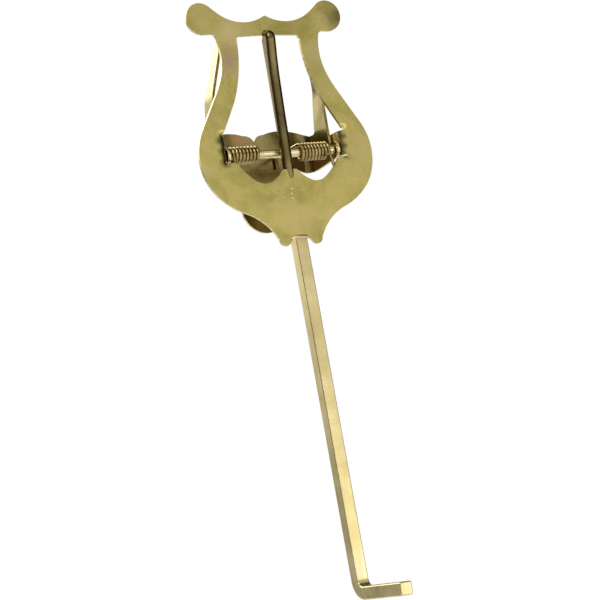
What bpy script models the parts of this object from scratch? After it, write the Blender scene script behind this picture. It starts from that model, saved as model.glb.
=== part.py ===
"""Spring-clip music lyre on a bent square shank.

The origin is the centre of the foot's flat underside, the foot points along -Y and the lyre plate faces -Y.
"""

import math

import bmesh
import bpy
from mathutils import Matrix, Vector

MM = 0.001

# Overall layout, in mm. Depth is counted from the front face of the lyre plate, towards +Y.
HINGE_Z = 140.0
PLATE_FACE_Y = 16.0
GAP = 0.3
ARC_STEP = 10.0

# Front lyre plate
PLATE = 1.05
PLATE_BEND_R = 2.475
PLATE_FOLD_X = 23.1
EAR_TOP = 5.5
EAR_BOTTOM = -2.3
EAR_LENGTH = 9.488
RELIEF_X = 21.5
EASE_X = 19.0
EASE_Z = 2.2
BAR_SHEET = 0.8
BAR_HALF = 1.29
BAR_CORNER_R = 0.9
BAR_BACK = 1.37
BAR_CAP_BACK = 0.72

# Rear jaw
JAW = 0.9
JAW_BACK = 21.25
JAW_SIDE_X = 19.3
JAW_BEND_R = 2.5
JAW_LEAN = math.radians(13.2)
JAW_LEAN_FROM = 18.6
JAW_LEAN_R = 12.0
JAW_LEAN_RUN = 16.05
JAW_TOP_R = 3.6
ARM_BACK_S = 33.8
ARM_FRONT_S = 38.13
NOSE_R = 2.8
TONGUE_HALF = 8.0
TONGUE_TIP = -21.9

# Hinge
AXIS_DEPTH = 4.2
PIN_R = 0.85
PIN_HEAD_R = 1.5
PIN_HEAD = 0.95
PIN_HALF = 21.45
HOLE_R = 1.15
SLEEVE_R = 1.45
SLEEVE_HALF = 18.55

# Torsion springs
WIRE_R = 0.52
COIL_R = 2.4
COIL_STEPS = 16
LEFT_COIL = (-8.9, -17.7, 7.25)
RIGHT_COIL = (6.4, 15.9, 8.25)
FRONT_LEG_Z = -8.5
REAR_LEG_BEND = 1.0
REAR_LEG_TIP_Z = -1.6

# Shank and foot
SHANK = 4.0
SHOULDER_Z = -27.9
LAP_TOP = -19.0
LAP_DEPTH = PLATE + GAP
SHANK_LEAN = math.atan(0.022)
FOOT_TIP_DEPTH = -27.3
BEND_INNER_R = 2.3
SHANK_EDGE_R = 0.3

# Braze bead
BEAD_R = 0.7


def clear_scene():
    for obj in list(bpy.data.objects):
        bpy.data.objects.remove(obj)


def material(name, colour, roughness):
    made = bpy.data.materials.new(name)
    made.use_nodes = True
    shader = made.node_tree.nodes["Principled BSDF"]
    shader.inputs["Base Color"].default_value = (*colour, 1.0)
    shader.inputs["Roughness"].default_value = roughness
    shader.inputs["Metallic"].default_value = 1.0
    return made


def point(x, depth, z):
    """A world point in metres from sideways position, depth behind the plate's face and height over the hinge."""
    return Vector((x, depth + PLATE_FACE_Y, z + HINGE_Z)) * MM


def arc(start, through, end):
    """Points after start, up to end, on the circle through three points of a plane."""
    (ax, ay), (bx, by), (cx, cy) = start, through, end
    span = 2 * (ax * (by - cy) + bx * (cy - ay) + cx * (ay - by))
    a2, b2, c2 = ax * ax + ay * ay, bx * bx + by * by, cx * cx + cy * cy
    ox = (a2 * (by - cy) + b2 * (cy - ay) + c2 * (ay - by)) / span
    oy = (a2 * (cx - bx) + b2 * (ax - cx) + c2 * (bx - ax)) / span
    radius = math.hypot(ax - ox, ay - oy)
    first = math.atan2(ay - oy, ax - ox)
    middle = (math.atan2(by - oy, bx - ox) - first) % math.tau
    turn = (math.atan2(cy - oy, cx - ox) - first) % math.tau
    if middle > turn:
        turn -= math.tau
    steps = max(2, math.ceil(abs(math.degrees(turn)) / ARC_STEP))
    angles = [first + turn * i / steps for i in range(1, steps + 1)]
    return [(ox + radius * math.cos(a), oy + radius * math.sin(a)) for a in angles]


def outline(start, *stretches):
    """A chain of points: a stretch of one point is a straight run to it, one of two is an arc through and to."""
    chain = [start]
    for stretch in stretches:
        if len(stretch) == 1:
            chain.append(stretch[0])
        else:
            chain.extend(arc(chain[-1], stretch[0], stretch[1]))
    return chain


def link(obj, collection, mat=None):
    collection.objects.link(obj)
    if mat:
        obj.data.materials.append(mat)
    return obj


def flat_curve(name, chain, half_thickness=0.0):
    curve = bpy.data.curves.new(name, "CURVE")
    curve.dimensions = "2D"
    curve.fill_mode = "BOTH"
    curve.extrude = half_thickness * MM
    spline = curve.splines.new("POLY")
    spline.points.add(len(chain) - 1)
    for target, (x, y) in zip(spline.points, chain):
        target.co = (x * MM, y * MM, 0, 1)
    spline.use_cyclic_u = True
    return bpy.data.objects.new(name, curve)


def as_mesh(obj, collection):
    """Converts a curve object to a welded mesh object of the same name, in place."""
    collection.objects.link(obj)
    bpy.context.view_layer.update()
    graph = bpy.context.evaluated_depsgraph_get()
    mesh = bpy.data.meshes.new_from_object(obj.evaluated_get(graph))
    name, placed = obj.name, obj.matrix_world.copy()
    bpy.data.objects.remove(obj)
    bm = bmesh.new()
    bm.from_mesh(mesh)
    bmesh.ops.remove_doubles(bm, verts=bm.verts, dist=0.000001)
    bm.to_mesh(mesh)
    bm.free()
    made = bpy.data.objects.new(name, mesh)
    made.matrix_world = placed
    collection.objects.link(made)
    return made


def cut_sheet(bm, faces, axis, place):
    """Adds a line of edges across faces of a flat sheet, so that it can bend there."""
    normal = Vector((1, 0, 0)) if axis == 0 else Vector((0, 1, 0))
    geom = set(faces)
    for face in faces:
        geom.update(face.edges)
        geom.update(face.verts)
    bmesh.ops.bisect_plane(bm, geom=list(geom), dist=0.0000001, plane_co=normal * place * MM, plane_no=normal)


def shaded(obj):
    for face in obj.data.polygons:
        face.use_smooth = True
    obj.data.set_sharp_from_angle(angle=math.radians(35))
    return obj


def modifier(obj, kind, **settings):
    made = obj.modifiers.new(kind.title(), kind)
    for name, value in settings.items():
        setattr(made, name, value)
    return made


def sheet_modifiers(obj, thickness):
    modifier(obj, "MIRROR", use_axis=(True, False, False), merge_threshold=0.00001)
    modifier(obj, "SOLIDIFY", thickness=thickness * MM, offset=0.0, use_even_offset=True, use_quality_normals=True)


def cut_with(obj, cutter, operation):
    modifier(obj, "BOOLEAN", object=cutter, operation=operation, solver="EXACT")


def as_helper(obj):
    obj.hide_render = True
    obj.display_type = "WIRE"
    return obj


def plate_half_outline():
    ear_round = 2.0
    ear_end = PLATE_FOLD_X - EAR_LENGTH
    ear_middle = (EAR_TOP + EAR_BOTTOM) / 2
    return outline(
        (0.0, 43.35),
        ((2.2, 42.35),),
        ((7.6, 41.35), (15.9, 44.1)),
        ((18.5, 46.2),),
        ((27.2, 42.8), (21.6, 37.85)),
        ((19.6, 37.95),),
        ((18.5, 37.4), (17.95, 36.2)),
        ((17.35, 30.8), (18.55, 24.2)),
        ((19.8, 21.3), (21.5, 18.2)),
        ((27.6, 8.0),),
        ((30.3, -2.2), (27.0, -11.9)),
        ((23.0, -15.8), (16.8, -19.2)),
        ((11.2, -22.9), (8.4, -26.3)),
        ((7.4, -28.0),),
        ((5.8, -30.0), (4.3, -29.6)),
        ((2.6, -27.6),),
        ((0.0, -27.6),),
        ((0.0, -6.1),),
        ((2.3, -6.1),),
        ((3.2, -7.2), (4.6, -8.35)),
        ((6.4, -9.5), (8.2, -10.1)),
        ((10.6, -9.9), (12.8, -8.8)),
        ((15.0, -6.9), (17.0, -4.5)),
        ((17.7, -3.6), (18.6, -3.05)),
        ((RELIEF_X, -3.0),),
        ((RELIEF_X, EAR_BOTTOM),),
        ((ear_end + ear_round, EAR_BOTTOM),),
        ((ear_end, ear_middle), (ear_end + ear_round, EAR_TOP)),
        ((RELIEF_X, EAR_TOP),),
        ((RELIEF_X, 6.1),),
        ((21.0, 6.1),),
        ((15.4, 16.1),),
        ((12.2, 25.6), (11.1, 35.4)),
        ((10.8, 36.5), (9.6, 36.9)),
        ((2.5, 37.1),),
        ((0.0, 37.1),),
    )


def folded_in(x, run_limit):
    """Sideways position and depth, from the sheet's middle, of a sheet point bent round the ear's fold."""
    run = min(PLATE_FOLD_X - x, run_limit)
    turn = min(max(run, 0.0) / PLATE_BEND_R, math.pi / 2)
    beyond = max(run - PLATE_BEND_R * math.pi / 2, 0.0)
    bent_x = PLATE_FOLD_X - PLATE_BEND_R * math.sin(turn) - min(run, 0.0)
    return bent_x, PLATE_BEND_R * (1 - math.cos(turn)) + beyond


def eased_step(value):
    value = min(max(value, 0.0), 1.0)
    return value * value * (3 - 2 * value)


def plate_bent(x, z, on_ear):
    """Bends the flat plate: the ear fully, and the sheet just over and under it less and less."""
    middle = PLATE / 2
    if on_ear:
        bent_x, depth = folded_in(x, EAR_LENGTH)
        return point(bent_x, middle + depth, z)
    held_x = max(x, RELIEF_X)
    bent_x, depth = folded_in(held_x, PLATE_FOLD_X)
    away = max(z - EAR_TOP, EAR_BOTTOM - z, 0.0)
    share = eased_step(1 - away / EASE_Z) * eased_step((x - EASE_X) / (RELIEF_X - EASE_X))
    return point(x + (bent_x - held_x) * share, middle + depth * share, z)


def cut_fold_lines(bm, steps, ease_steps):
    """Cuts the lines along which the ears bend, and those across which the bend dies out over and under them."""
    cut_sheet(bm, list(bm.faces), 0, PLATE_FOLD_X)
    cut_sheet(bm, list(bm.faces), 0, EASE_X)
    for i in range(ease_steps + 1):
        for z in (EAR_TOP + EASE_Z * i / ease_steps, EAR_BOTTOM - EASE_Z * i / ease_steps):
            cut_sheet(bm, [face for face in bm.faces if beside_ear(face.calc_center_median(), 40.0)], 1, z)
    for i in range(1, steps + 1):
        fold = [face for face in bm.faces if beside_ear(face.calc_center_median(), EASE_Z)]
        cut_sheet(bm, fold, 0, PLATE_FOLD_X - PLATE_BEND_R * math.pi / 2 * i / steps)
    bmesh.ops.dissolve_degenerate(bm, dist=0.00001, edges=bm.edges)


def beside_ear(centre, reach):
    x, z = centre.x / MM, centre.y / MM
    return EASE_X < x < PLATE_FOLD_X and EAR_BOTTOM - reach < z < EAR_TOP + reach


def in_ear(centre):
    x, z = centre.x / MM, centre.y / MM
    return 5 < x < PLATE_FOLD_X + 0.001 and EAR_BOTTOM - 0.01 < z < EAR_TOP + 0.01


def front_plate(collection, helpers, mat, hole_cutter):
    """One sheet with a wide window, its two hinge ears bent back from the window's sides, and the string bar."""
    obj = as_mesh(flat_curve("front_lyre_plate", plate_half_outline()), collection)
    bm = bmesh.new()
    bm.from_mesh(obj.data)
    cut_fold_lines(bm, 6, 3)
    on_ear = {v for face in bm.faces if in_ear(face.calc_center_median()) for v in face.verts}
    for vert in bm.verts:
        vert.co = plate_bent(vert.co.x / MM, vert.co.y / MM, vert in on_ear)
    bmesh.ops.recalc_face_normals(bm, faces=bm.faces)
    bm.to_mesh(obj.data)
    bm.free()
    obj.data.materials.append(mat)
    sheet_modifiers(obj, PLATE)
    cut_with(obj, string_bar(helpers), "UNION")
    cut_with(obj, hole_cutter, "DIFFERENCE")
    return obj


def string_bar(helpers):
    """The half-round channel that stands up the middle of the window, made as a loft of U sections."""
    web_front = outline(
        (0.13, -11.3),
        ((0.01, -9.1),),
        ((-0.32, -6.0), (-0.6, -1.5)),
        ((-0.8, 8.0), (-1.15, 18.0)),
        ((-1.8, 29.0), (-2.65, 35.2)),
        ((-2.3, 36.9), (-1.1, 37.9)),
        ((-0.3, 38.25),),
    )
    bm = bmesh.new()
    rows = []
    arc_steps = 3
    for front, z in web_front:
        depth = front + BAR_SHEET / 2
        back = BAR_CAP_BACK if z > 36.0 else BAR_BACK
        corner = min(BAR_CORNER_R, back - depth - 0.05)
        row = [(0.0, depth), (BAR_HALF - corner, depth)]
        for i in range(1, arc_steps + 1):
            turn = math.pi / 2 / arc_steps * i
            row.append((BAR_HALF - corner * (1 - math.sin(turn)), depth + corner * (1 - math.cos(turn))))
        row.append((BAR_HALF, back))
        rows.append([bm.verts.new(point(x, d, z)) for x, d in row])
    for low, high in zip(rows, rows[1:]):
        for j in range(arc_steps + 2):
            bm.faces.new((low[j], low[j + 1], high[j + 1], high[j]))
    bmesh.ops.recalc_face_normals(bm, faces=bm.faces)
    mesh = bpy.data.meshes.new("string_bar")
    bm.to_mesh(mesh)
    bm.free()
    bar = as_helper(link(bpy.data.objects.new("string_bar", mesh), helpers))
    sheet_modifiers(bar, BAR_SHEET)
    return bar


def jaw_top_run():
    """Length of the arm's sheet from the hinge to the middle of the top bar."""
    side = JAW_SIDE_X - JAW_LEAN_R * (1 - math.cos(JAW_LEAN)) - JAW_LEAN_RUN * math.sin(JAW_LEAN)
    bends = JAW_LEAN_R * JAW_LEAN + JAW_TOP_R * (math.pi / 2 - JAW_LEAN)
    return JAW_LEAN_FROM + bends + JAW_LEAN_RUN + side - JAW_TOP_R * math.cos(JAW_LEAN)


def jaw_half_outline():
    """Half of the jaw's flat blank: the first number runs round the corner from the middle of the back wall."""
    nose_s = JAW_BACK - JAW_BEND_R + JAW_BEND_R * math.pi / 2 + JAW_SIDE_X - JAW_BEND_R - AXIS_DEPTH
    top = jaw_top_run()
    return outline(
        (0.0, 8.1),
        ((1.0, 9.2), (3.6, 10.0)),
        ((7.0, 10.8), (10.5, 10.9)),
        ((17.0, 9.6), (20.9, 8.0)),
        ((23.9, 7.8),),
        ((24.9, 8.2), (25.3, 9.6)),
        ((27.5, 18.6),),
        ((29.8, 24.0), (31.3, 29.3)),
        ((ARM_BACK_S, 37.0),),
        ((ARM_BACK_S, top),),
        ((ARM_FRONT_S, top),),
        ((ARM_FRONT_S, 38.5),),
        ((36.1, 30.3), (34.1, 22.0)),
        ((33.15, 16.0),),
        ((33.1, 8.0),),
        ((nose_s - 1.8, 2.15),),
        ((nose_s + NOSE_R, 0.0), (nose_s, -NOSE_R)),
        ((30.6, -3.1),),
        ((23.3, -3.6),),
        ((19.0, -3.5),),
        ((16.0, -3.0), (13.5, -1.7)),
        ((9.4, -4.3), (TONGUE_HALF, -8.5)),
        ((TONGUE_HALF, TONGUE_TIP + TONGUE_HALF),),
        ((TONGUE_HALF * math.sqrt(0.5), TONGUE_TIP + TONGUE_HALF * (1 - math.sqrt(0.5))), (0.0, TONGUE_TIP)),
    )


def jaw_folded(s, t):
    """Folds a point of the flat blank: round the corner, up the leaning arm and over into the top bar."""
    corner_from = JAW_SIDE_X - JAW_BEND_R
    turn = min(max(s - corner_from, 0) / JAW_BEND_R, math.pi / 2)
    corner_run = JAW_BEND_R * math.pi / 2
    x = min(s, corner_from) + JAW_BEND_R * math.sin(turn)
    depth = JAW_BACK - JAW_BEND_R * (1 - math.cos(turn)) - max(s - corner_from - corner_run, 0)
    if s < corner_from + corner_run or t < JAW_LEAN_FROM:
        return point(x, depth, t)
    lean = min((t - JAW_LEAN_FROM) / JAW_LEAN_R, JAW_LEAN)
    straight = min(max(t - JAW_LEAN_FROM - JAW_LEAN_R * JAW_LEAN, 0), JAW_LEAN_RUN)
    x -= JAW_LEAN_R * (1 - math.cos(lean)) + straight * math.sin(JAW_LEAN)
    z = JAW_LEAN_FROM + JAW_LEAN_R * math.sin(lean) + straight * math.cos(JAW_LEAN)
    over = t - JAW_LEAN_FROM - JAW_LEAN_R * JAW_LEAN - JAW_LEAN_RUN
    if over > 0:
        bend = math.pi / 2 - JAW_LEAN
        angle = JAW_LEAN + min(over / JAW_TOP_R, bend)
        x -= JAW_TOP_R * (math.cos(JAW_LEAN) - math.cos(angle)) + max(over - bend * JAW_TOP_R, 0)
        z += JAW_TOP_R * (math.sin(angle) - math.sin(JAW_LEAN))
    return point(max(x, 0.0), depth, z)


def rear_jaw(collection, mat, hole_cutter):
    """One folded sheet: back wall with a thumb tongue, two side walls, two arms and the top bar joining them."""
    obj = as_mesh(flat_curve("rear_jaw", jaw_half_outline()), collection)
    bm = bmesh.new()
    bm.from_mesh(obj.data)
    steps = 6
    corner_from = JAW_SIDE_X - JAW_BEND_R
    for i in range(steps + 1):
        cut_sheet(bm, list(bm.faces), 0, corner_from + JAW_BEND_R * math.pi / 2 * i / steps)
    lean_run = JAW_LEAN_R * JAW_LEAN
    bend = JAW_TOP_R * (math.pi / 2 - JAW_LEAN)
    for i in range(steps + 1):
        cut_sheet(bm, list(bm.faces), 1, JAW_LEAN_FROM + lean_run * i / steps)
        cut_sheet(bm, list(bm.faces), 1, JAW_LEAN_FROM + lean_run + JAW_LEAN_RUN + bend * i / steps)
    for vert in bm.verts:
        vert.co = jaw_folded(vert.co.x / MM, vert.co.y / MM)
    bmesh.ops.recalc_face_normals(bm, faces=bm.faces)
    bm.to_mesh(obj.data)
    bm.free()
    obj.data.materials.append(mat)
    sheet_modifiers(obj, JAW)
    cut_with(obj, hole_cutter, "DIFFERENCE")
    return obj


def turned(name, profile, closed, collection, mat):
    """A turned piece about the hinge axis. The profile gives radius and sideways position."""
    bm = bmesh.new()
    verts = [bm.verts.new((radius * MM, 0, along * MM)) for radius, along in profile]
    for a, b in zip(verts, verts[1:]):
        bm.edges.new((a, b))
    if closed:
        bm.edges.new((verts[-1], verts[0]))
    mesh = bpy.data.meshes.new(name)
    bm.to_mesh(mesh)
    bm.free()
    obj = link(bpy.data.objects.new(name, mesh), collection, mat)
    obj.location = point(0, AXIS_DEPTH, 0)
    obj.rotation_euler = (0, math.pi / 2, 0)
    modifier(obj, "SCREW", steps=24, render_steps=24, use_merge_vertices=True, merge_threshold=0.000001)
    return obj


def hinge_pin(collection, mat):
    end = PIN_HALF + PIN_HEAD
    head = [(0.0, end), (PIN_HEAD_R * 0.62, end - 0.12), (PIN_HEAD_R * 0.93, end - 0.42), (PIN_HEAD_R, PIN_HALF)]
    shank = [(PIN_R, PIN_HALF)]
    profile = head + shank + [(r, -along) for r, along in reversed(head + shank)]
    return turned("hinge_pin", profile, False, collection, mat)


def spacer_sleeve(collection, mat):
    corners = [(SLEEVE_R, SLEEVE_HALF), (SLEEVE_R, -SLEEVE_HALF), (HOLE_R, -SLEEVE_HALF), (HOLE_R, SLEEVE_HALF)]
    return turned("spacer_sleeve", corners, True, collection, mat)


def wire(name, chain, radius, collection, mat):
    """A round wire along a chain of world points."""
    curve = bpy.data.curves.new(name, "CURVE")
    curve.dimensions = "3D"
    curve.bevel_depth = radius * MM
    curve.bevel_resolution = 2
    curve.use_fill_caps = True
    spline = curve.splines.new("POLY")
    spline.points.add(len(chain) - 1)
    for target, place in zip(spline.points, chain):
        target.co = (*place, 1)
    return link(bpy.data.objects.new(name, curve), collection, mat)


def torsion_spring(name, ends, front_leg_x, collection, mat):
    """A coil round the sleeve with one leg on the plate's back and one on the jaw's back wall."""
    inner_x, outer_x, turns = ends
    wall = JAW_BACK - JAW / 2 - GAP - WIRE_R
    bend_from = wall - REAR_LEG_BEND
    rear = [point(inner_x, wall, REAR_LEG_TIP_Z)]
    for i in range(5):
        turn = math.pi / 8 * i
        depth = bend_from + REAR_LEG_BEND * math.cos(turn)
        rear.append(point(inner_x, depth, COIL_R - REAR_LEG_BEND * (1 - math.sin(turn))))
    coil = []
    count = round(turns * COIL_STEPS)
    for i in range(count + 1):
        turn = math.pi / 2 + math.tau * i / COIL_STEPS
        x = inner_x + (outer_x - inner_x) * i / count
        coil.append(point(x, AXIS_DEPTH + COIL_R * math.cos(turn), COIL_R * math.sin(turn)))
    on_plate = PLATE + GAP + WIRE_R + 0.02
    front = [point(outer_x, on_plate - 0.15, -1.6), point(front_leg_x, on_plate, FRONT_LEG_Z)]
    return wire(name, rear + coil + front, WIRE_R, collection, mat)


def bent_shank(collection, mat):
    """A square bar: half-lapped to the plate at the top and bent forward into the foot at the bottom."""
    foot_top = -HINGE_Z + SHANK
    centre_z = foot_top + BEND_INNER_R
    front_there = (centre_z - SHOULDER_Z) * math.tan(SHANK_LEAN)
    centre_d = front_there - BEND_INNER_R / math.cos(SHANK_LEAN)
    halfway = -(SHANK_LEAN + math.pi / 2) / 2

    def on_bend(radius, angle):
        return (centre_d + radius * math.cos(angle), centre_z + radius * math.sin(angle))

    outer = BEND_INNER_R + SHANK
    back_top = SHANK / math.cos(SHANK_LEAN)
    side = outline(
        (0.0, SHOULDER_Z),
        ((LAP_DEPTH, SHOULDER_Z),),
        ((LAP_DEPTH, LAP_TOP),),
        ((back_top, LAP_TOP),),
        ((back_top, SHOULDER_Z),),
        (on_bend(outer, -SHANK_LEAN),),
        (on_bend(outer, halfway), on_bend(outer, -math.pi / 2)),
        ((FOOT_TIP_DEPTH, -HINGE_Z),),
        ((FOOT_TIP_DEPTH, foot_top),),
        (on_bend(BEND_INNER_R, -math.pi / 2),),
        (on_bend(BEND_INNER_R, halfway), on_bend(BEND_INNER_R, -SHANK_LEAN)),
    )
    flat = flat_curve("bent_shank", side, SHANK / 2)
    obj = as_mesh(flat, collection)
    stand_up = Matrix(((0, 0, 1, 0), (1, 0, 0, 0), (0, 1, 0, 0), (0, 0, 0, 1)))
    obj.data.transform(Matrix.Translation(point(0, 0, 0)) @ stand_up)
    obj.data.materials.append(mat)
    modifier(obj, "BEVEL", width=SHANK_EDGE_R * MM, segments=2, limit_method="ANGLE", angle_limit=math.radians(50))
    return obj


def braze_fillet(collection, mat):
    """The bead run round the lap joint on the plate's back."""
    side = SHANK / 2 + GAP + BEAD_R
    top = LAP_TOP + GAP + BEAD_R
    depth = PLATE + GAP + BEAD_R
    corner = 1.0
    half = []
    for i in range(5):
        turn = math.pi / 8 * i
        half.append((side - corner * (1 - math.cos(turn)), top - corner * (1 - math.sin(turn))))
    right = [(side, SHOULDER_Z + 1.5)] + half
    chain = right + [(-x, z) for x, z in reversed(right)]
    return wire("braze_fillet", [point(x, depth, z) for x, z in chain], BEAD_R, collection, mat)


def main():
    clear_scene()
    scene = bpy.context.scene
    parts = bpy.data.collections.new("music_stand_lyre")
    helpers = bpy.data.collections.new("cutters")
    scene.collection.children.link(parts)
    scene.collection.children.link(helpers)

    plate_brass = material("lyre_plate", (0.46, 0.37, 0.16), 0.32)
    jaw_brass = material("jaw", (0.50, 0.36, 0.16), 0.34)
    shank_brass = material("shank", (0.62, 0.50, 0.27), 0.28)
    spring_steel = material("springs", (0.55, 0.55, 0.55), 0.3)
    pin_steel = material("pin", (0.56, 0.50, 0.40), 0.35)
    sleeve_brass = material("sleeve", (0.60, 0.52, 0.34), 0.3)
    braze = material("braze", (0.66, 0.60, 0.42), 0.4)

    bpy.ops.mesh.primitive_cylinder_add(
        vertices=24,
        radius=HOLE_R * MM,
        depth=2 * (PIN_HALF + 2) * MM,
        location=point(0, AXIS_DEPTH, 0),
        rotation=(0, math.pi / 2, 0),
    )
    hole_cutter = bpy.context.active_object
    hole_cutter.name = "pin_hole_cutter"
    for owner in list(hole_cutter.users_collection):
        owner.objects.unlink(hole_cutter)
    as_helper(link(hole_cutter, helpers))

    front_plate(parts, helpers, plate_brass, hole_cutter)
    rear_jaw(parts, jaw_brass, hole_cutter)
    shaded(hinge_pin(parts, pin_steel))
    shaded(spacer_sleeve(parts, sleeve_brass))
    torsion_spring("left_spring", LEFT_COIL, -17.9, parts, spring_steel)
    torsion_spring("right_spring", RIGHT_COIL, 17.6, parts, spring_steel)
    bent_shank(parts, shank_brass)
    braze_fillet(parts, braze)


main()
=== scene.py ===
"""Looks for the spring-clip music lyre: sheet metal, wire springs, brass finishes, a white studio."""

import math

import bmesh
import bpy
from mathutils import Matrix, Vector


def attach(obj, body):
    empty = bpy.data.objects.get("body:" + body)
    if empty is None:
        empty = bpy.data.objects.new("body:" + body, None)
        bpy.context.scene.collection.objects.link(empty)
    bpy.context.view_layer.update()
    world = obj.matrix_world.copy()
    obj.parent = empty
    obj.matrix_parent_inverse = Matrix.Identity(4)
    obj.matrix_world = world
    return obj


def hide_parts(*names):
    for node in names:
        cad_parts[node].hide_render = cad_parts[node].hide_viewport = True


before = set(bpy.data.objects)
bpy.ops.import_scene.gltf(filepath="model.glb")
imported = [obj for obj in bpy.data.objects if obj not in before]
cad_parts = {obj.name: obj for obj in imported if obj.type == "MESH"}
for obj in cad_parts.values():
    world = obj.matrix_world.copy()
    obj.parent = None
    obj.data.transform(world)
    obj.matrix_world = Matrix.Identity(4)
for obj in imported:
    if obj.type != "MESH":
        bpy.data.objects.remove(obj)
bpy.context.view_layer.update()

MM = 0.001
TINY = 0.0000001

# Layout in mm, as in the CAD: depth counts from the plate's front face towards +Y.
HINGE_Z = 140.0
PLATE_FACE_Y = 16.0
GAP = 0.3
ARC_STEP = 4.0

PLATE = 1.05
PLATE_BEND_R = 2.475
PLATE_FOLD_X = 23.1
EAR_TOP = 5.5
EAR_BOTTOM = -2.3
EAR_LENGTH = 9.488
RELIEF_X = 21.5
EASE_X = 19.0
EASE_Z = 2.2
BAR_SHEET = 0.8
BAR_HALF = 1.29
BAR_CORNER_R = 1.15
BAR_BACK = 1.37
BAR_CAP_BACK = 0.72
BAR_CAP_FROM_Z = 36.0
BAR_LEAST_WALL = 0.05
PLATE_EDGE_R = 0.16
BAR_EDGE_R = 0.12

JAW = 0.9
JAW_BACK = 21.25
JAW_SIDE_X = 19.3
JAW_BEND_R = 2.5
JAW_LEAN = math.radians(13.2)
JAW_LEAN_FROM = 18.6
JAW_LEAN_R = 12.0
JAW_LEAN_RUN = 16.05
JAW_TOP_R = 3.6
ARM_BACK_S = 33.8
ARM_FRONT_S = 38.13
NOSE_R = 2.8
TONGUE_HALF = 8.0
TONGUE_TIP = -21.9
JAW_EDGE_R = 0.14

AXIS_DEPTH = 4.2
PIN_R = 0.85
PIN_HEAD_R = 1.5
PIN_HEAD = 0.95
PIN_HEAD_RIM = 0.18
PIN_HEAD_EASE = 0.05
PIN_HALF = 21.45
HOLE_R = 1.15
SLEEVE_R = 1.45
SLEEVE_HALF = 18.55
SLEEVE_LIP = 0.08

WIRE_R = 0.52
COIL_R = 2.4
COIL_STEPS = 40
LEFT_COIL = (-8.9, -17.7, 7.25)
RIGHT_COIL = (6.4, 15.9, 8.25)
LEFT_LEG_X = -17.9
RIGHT_LEG_X = 17.6
FRONT_LEG_FROM_Z = -1.6
FRONT_LEG_TIP_Z = -8.5
FRONT_LEG_SLANT = 0.15
REAR_LEG_BEND = 1.0
REAR_LEG_TIP_Z = -1.6

SHANK = 4.0
SHOULDER_Z = -27.9
LAP_TOP = -19.0
LAP_DEPTH = PLATE + GAP
SHANK_LEAN = math.atan(0.022)
FOOT_TIP_DEPTH = -27.3
BEND_INNER_R = 2.3
SHANK_EDGE_R = 0.35

BEAD_R = 0.7
BEAD_CORNER_R = 1.0
BEAD_ABOVE_SHOULDER = 1.5
SOLDER_R = 0.75


# ---------------------------------------------------------------- shapes

def point(x, depth, z):
    """A point in metres from mm: sideways, depth behind the plate's face and height over the hinge."""
    return Vector((x, depth + PLATE_FACE_Y, z + HINGE_Z)) * MM


def arc(start, through, end):
    """Points after start, up to end, on the circle through three points of a plane."""
    (ax, ay), (bx, by), (cx, cy) = start, through, end
    span = 2 * (ax * (by - cy) + bx * (cy - ay) + cx * (ay - by))
    a2, b2, c2 = ax * ax + ay * ay, bx * bx + by * by, cx * cx + cy * cy
    ox = (a2 * (by - cy) + b2 * (cy - ay) + c2 * (ay - by)) / span
    oy = (a2 * (cx - bx) + b2 * (ax - cx) + c2 * (bx - ax)) / span
    radius = math.hypot(ax - ox, ay - oy)
    first = math.atan2(ay - oy, ax - ox)
    middle = (math.atan2(by - oy, bx - ox) - first) % math.tau
    turn = (math.atan2(cy - oy, cx - ox) - first) % math.tau
    if middle > turn:
        turn -= math.tau
    steps = max(2, math.ceil(abs(math.degrees(turn)) / ARC_STEP))
    angles = [first + turn * i / steps for i in range(1, steps + 1)]
    return [(ox + radius * math.cos(a), oy + radius * math.sin(a)) for a in angles]


def outline(start, *stretches):
    """A chain of points: a stretch of one point is a straight run, one of two is an arc through and to."""
    chain = [start]
    for stretch in stretches:
        if len(stretch) == 1:
            chain.append(stretch[0])
        else:
            chain.extend(arc(chain[-1], stretch[0], stretch[1]))
    return chain


def link(obj):
    bpy.context.scene.collection.objects.link(obj)
    return obj


def flat_mesh(name, chain):
    """A filled flat sheet from a closed chain of mm points, in the XY plane."""
    curve = bpy.data.curves.new(name, "CURVE")
    curve.dimensions = "2D"
    curve.fill_mode = "BOTH"
    spline = curve.splines.new("POLY")
    spline.points.add(len(chain) - 1)
    for target, (x, y) in zip(spline.points, chain):
        target.co = (x * MM, y * MM, 0, 1)
    spline.use_cyclic_u = True
    holder = link(bpy.data.objects.new(name + "_flat", curve))
    bpy.context.view_layer.update()
    mesh = bpy.data.meshes.new_from_object(holder.evaluated_get(bpy.context.evaluated_depsgraph_get()))
    bpy.data.objects.remove(holder)
    bm = bmesh.new()
    bm.from_mesh(mesh)
    bmesh.ops.remove_doubles(bm, verts=bm.verts, dist=0.000001)
    bpy.data.meshes.remove(mesh)
    return bm


def cut_sheet(bm, faces, axis, place):
    """Adds a line of edges across faces of a flat sheet, so that it can bend there."""
    normal = Vector((1, 0, 0)) if axis == 0 else Vector((0, 1, 0))
    geom = set(faces)
    for face in faces:
        geom.update(face.edges)
        geom.update(face.verts)
    bmesh.ops.bisect_plane(bm, geom=list(geom), dist=TINY, plane_co=normal * place * MM, plane_no=normal)


def finish_mesh(bm, name):
    bmesh.ops.recalc_face_normals(bm, faces=bm.faces)
    mesh = bpy.data.meshes.new(name)
    bm.to_mesh(mesh)
    bm.free()
    return link(bpy.data.objects.new(name, mesh))


def modifier(obj, kind, **settings):
    made = obj.modifiers.new(kind.title(), kind)
    for name, value in settings.items():
        setattr(made, name, value)


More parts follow.
